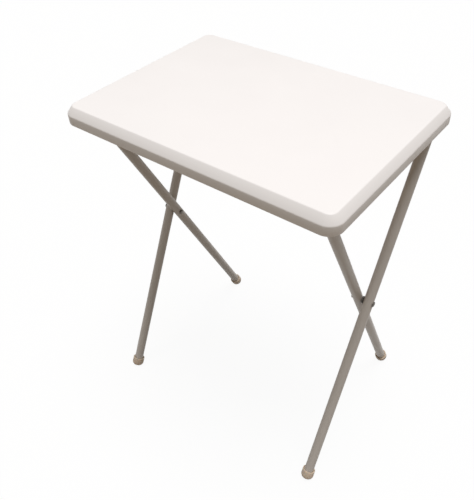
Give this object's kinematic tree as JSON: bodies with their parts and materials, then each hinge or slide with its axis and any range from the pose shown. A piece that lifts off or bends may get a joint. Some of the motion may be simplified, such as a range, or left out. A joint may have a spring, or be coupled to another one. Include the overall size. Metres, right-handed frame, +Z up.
{
  "type": "folding tray table",
  "caption": "Folding tray table: rounded rectangular moulded tray with a sloping rim and ribbed underside, on two crossing U-shaped tube leg frames that fold like scissors.",
  "frame": {"origin": "on the floor under the middle of the tray, with the table open", "axes": "+Z up, X along the long side of the tray, +Y from the hinge side of the tray towards the catch side"},
  "size_m": [0.508, 0.3662, 0.66],
  "materials": {
    "tray_plastic": "smooth white moulded plastic, faint sheen",
    "hinge_plastic": "plain light grey moulded nylon",
    "bush_plastic": "natural nylon",
    "foot_plastic": "soft cream vinyl",
    "frame_paint": "light grey powder coat, satin",
    "fixing_steel": "dull zinc plate"
  },
  "bodies": {
    "inner_frame": {"inner_frame_tube": "frame_paint", "foot_inner_left": "foot_plastic", "foot_inner_right": "foot_plastic", "pivot_rivet_left": "fixing_steel", "pivot_rivet_right": "fixing_steel", "pivot_spacer_left": "bush_plastic", "pivot_spacer_right": "bush_plastic", "pivot_washer_left": "fixing_steel", "pivot_washer_right": "fixing_steel"},
    "outer_frame": {"outer_frame_tube": "frame_paint", "foot_outer_left": "foot_plastic", "foot_outer_right": "foot_plastic"},
    "tray": {"tabletop": "tray_plastic", "hinge_bush_left": "bush_plastic", "hinge_bush_right": "bush_plastic", "hinge_block_left": "hinge_plastic", "hinge_block_right": "hinge_plastic", "hinge_cap_left": "hinge_plastic", "hinge_cap_right": "hinge_plastic", "hinge_screws": "fixing_steel", "crossbar_catch_left": "hinge_plastic", "crossbar_catch_right": "hinge_plastic", "catch_screws": "fixing_steel"}
  },
  "joints": [
    {"name": "leg_fold", "type": "hinge", "parent": "inner_frame", "child": "outer_frame", "pos_m": [0, 0, 0.3533], "axis": [1, 0, 0], "range_deg": [0, 50.5]},
    {"name": "tray_fold", "type": "hinge", "parent": "inner_frame", "child": "tray", "pos_m": [0, -0.13257, 0.6192], "axis": [1, 0, 0], "range_deg": [0, 25.35]}
  ],
  "couplings": [
    {"joint": "tray_fold", "follows": "leg_fold", "ratio": 0.5}
  ]
}
